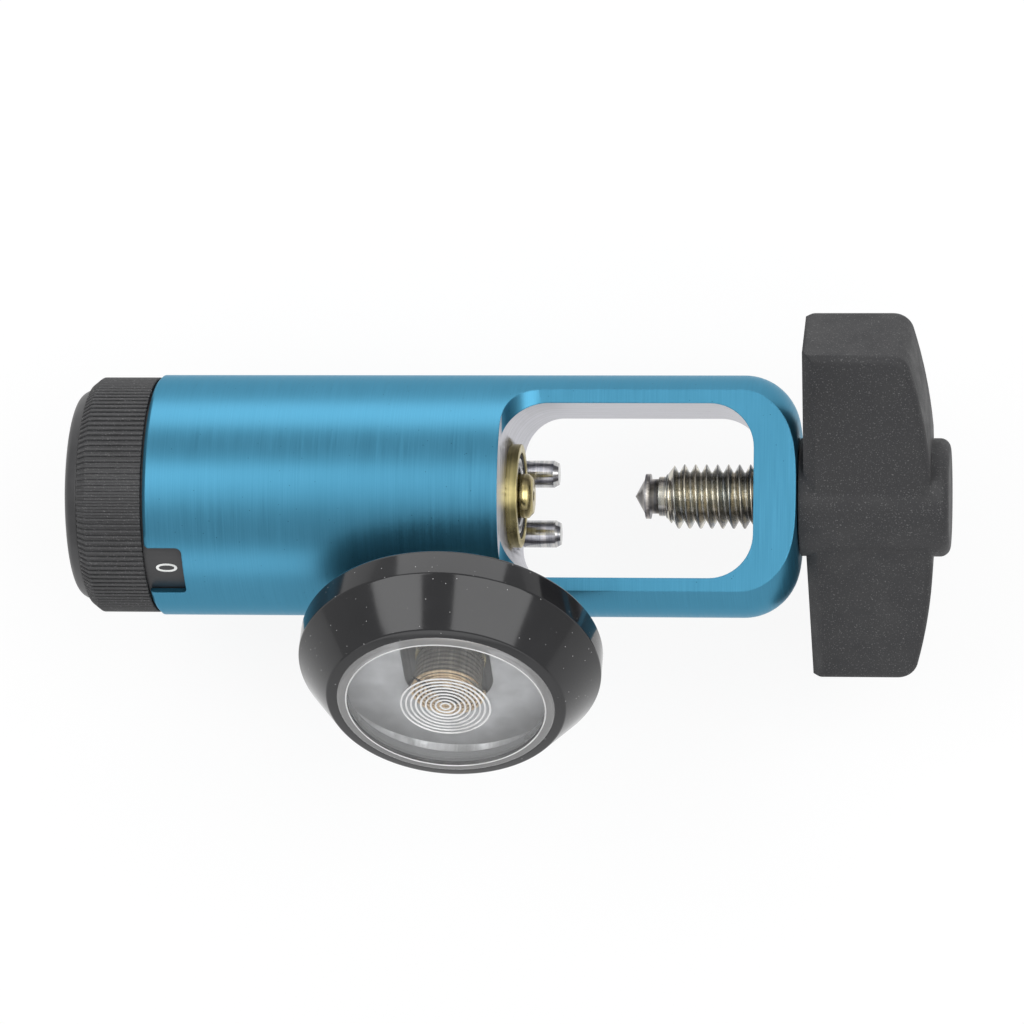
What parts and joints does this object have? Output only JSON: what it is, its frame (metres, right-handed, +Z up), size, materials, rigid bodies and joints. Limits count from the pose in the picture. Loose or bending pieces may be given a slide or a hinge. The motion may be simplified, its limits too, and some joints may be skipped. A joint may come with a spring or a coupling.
{
  "type": "oxygen regulator",
  "caption": "Pin-index oxygen cylinder regulator: a turned bar with a milled yoke window, selector knob, contents gauge in a rubber boot, hose barb and T-handle clamp screw.",
  "frame": {"origin": "centre of the inlet nipple at the front face of its seal, on the bar's axis", "axes": "+X along the bar from the selector knob to the T-handle, +Z up with the index pins below the inlet, +Y across the bar"},
  "size_m": [0.1293, 0.0665, 0.0725],
  "materials": {
    "anodised_blue": "clear teal-blue anodising over fine turning marks, bare bright metal in the milled window",
    "pin_steel": "turned bright steel",
    "seal_brass": "turned brass",
    "seal_rubber": "smooth black rubber",
    "bush_steel": "turned bright steel",
    "nipple_brass": "turned brass",
    "filter_bronze": "sintered bronze grains",
    "point_steel": "matt grey hardened steel",
    "screw_steel": "bright rolled thread",
    "handle_plastic": "sand-textured black moulding",
    "knob_plastic": "satin black moulding",
    "cap_plastic": "satin black moulding",
    "sleeve_plastic": "black with white printed numbers",
    "small_steel": "zinc plated",
    "spindle_brass": "turned brass",
    "oring_rubber": "smooth black rubber",
    "disc_steel": "ground stainless steel",
    "plate_brass": "turned brass",
    "ball_steel": "polished",
    "spring_steel": "drawn wire",
    "clip_steel": "blackened spring steel",
    "piston_brass": "turned brass",
    "seat_nylon": "natural nylon",
    "barb_brass": "nickel plated brass",
    "relief_brass": "turned brass",
    "socket_brass": "turned brass",
    "case_steel": "drawn steel, satin",
    "boot_rubber": "glossy black rubber",
    "lens_clear": "clear moulded plastic",
    "dial_white": "pale grey enamel",
    "coil_bronze": "drawn bronze tube",
    "pointer_black": "black enamel"
  },
  "bodies": {
    "root": {"yoke_body": "anodised_blue", "index_pins": "pin_steel", "seal_ring": "seal_brass", "seal_rubber": "seal_rubber", "inlet_bush": "bush_steel", "inlet_nipple": "nipple_brass", "inlet_filter": "filter_bronze", "flow_plate": "plate_brass", "retaining_ring": "clip_steel", "detent_spring": "spring_steel", "piston_spring": "spring_steel", "outlet_barb": "barb_brass", "relief_cap": "relief_brass", "relief_spring": "spring_steel", "gauge_socket": "socket_brass", "gauge_case": "case_steel", "gauge_boot": "boot_rubber", "gauge_lens": "lens_clear", "gauge_dial": "dial_white", "bourdon_coil": "coil_bronze"},
    "selector": {"knob_ring": "knob_plastic", "knob_cap": "cap_plastic", "number_sleeve": "sleeve_plastic", "knob_screw": "small_steel", "selector_spindle": "spindle_brass", "spindle_oring": "oring_rubber", "orifice_disc": "disc_steel"},
    "swivel_point": {"screw_point": "point_steel"},
    "screw_and_handle": {"clamp_screw": "screw_steel", "t_handle": "handle_plastic"},
    "piston_group": {"piston": "piston_brass", "piston_seat": "seat_nylon", "piston_head_oring": "oring_rubber", "piston_stem_oring": "oring_rubber"},
    "detent": {"detent_ball": "ball_steel"},
    "relief_valve": {"relief_ball": "ball_steel"},
    "pointer": {"gauge_pointer": "pointer_black"}
  },
  "joints": [
    {"name": "selector_turn", "type": "hinge", "parent": "root", "child": "selector", "pos_m": [-0.045, 0, 0], "axis": [1, 0, 0], "range_deg": [0, 330]},
    {"name": "screw_travel", "type": "slide", "parent": "root", "child": "swivel_point", "axis": [1, 0, 0], "range_m": [0, 0.01468]},
    {"name": "handle_turn", "type": "hinge", "parent": "swivel_point", "child": "screw_and_handle", "pos_m": [0.03, 0, 0], "axis": [1, 0, 0], "range_deg": [0, 3330]},
    {"name": "piston_travel", "type": "slide", "parent": "root", "child": "piston_group", "axis": [1, 0, 0], "range_m": [0, 0.0008], "stiffness_N_per_m": 1500, "springref_m": -0.004, "deforming": ["piston_spring"]},
    {"name": "detent_click", "type": "slide", "parent": "root", "child": "detent", "axis": [1, 0, 0], "range_m": [0, 0.0004], "stiffness_N_per_m": 200, "springref_m": 0.001, "deforming": ["detent_spring"]},
    {"name": "relief_lift", "type": "slide", "parent": "root", "child": "relief_valve", "axis": [0, 0.6157, -0.788], "range_m": [0, 0.0005], "stiffness_N_per_m": 500, "springref_m": -0.002, "deforming": ["relief_spring"]},
    {"name": "pointer_turn", "type": "hinge", "parent": "root", "child": "pointer", "pos_m": [-0.00794, -0.02942, 0.01986], "axis": [0, 0.8288, -0.5595], "range_deg": [0, 270], "stiffness_Nm_per_rad": 0.0002}
  ],
  "couplings": [
    {"joint": "handle_turn", "follows": "screw_travel", "rad_per_m": 3957.9}
  ]
}
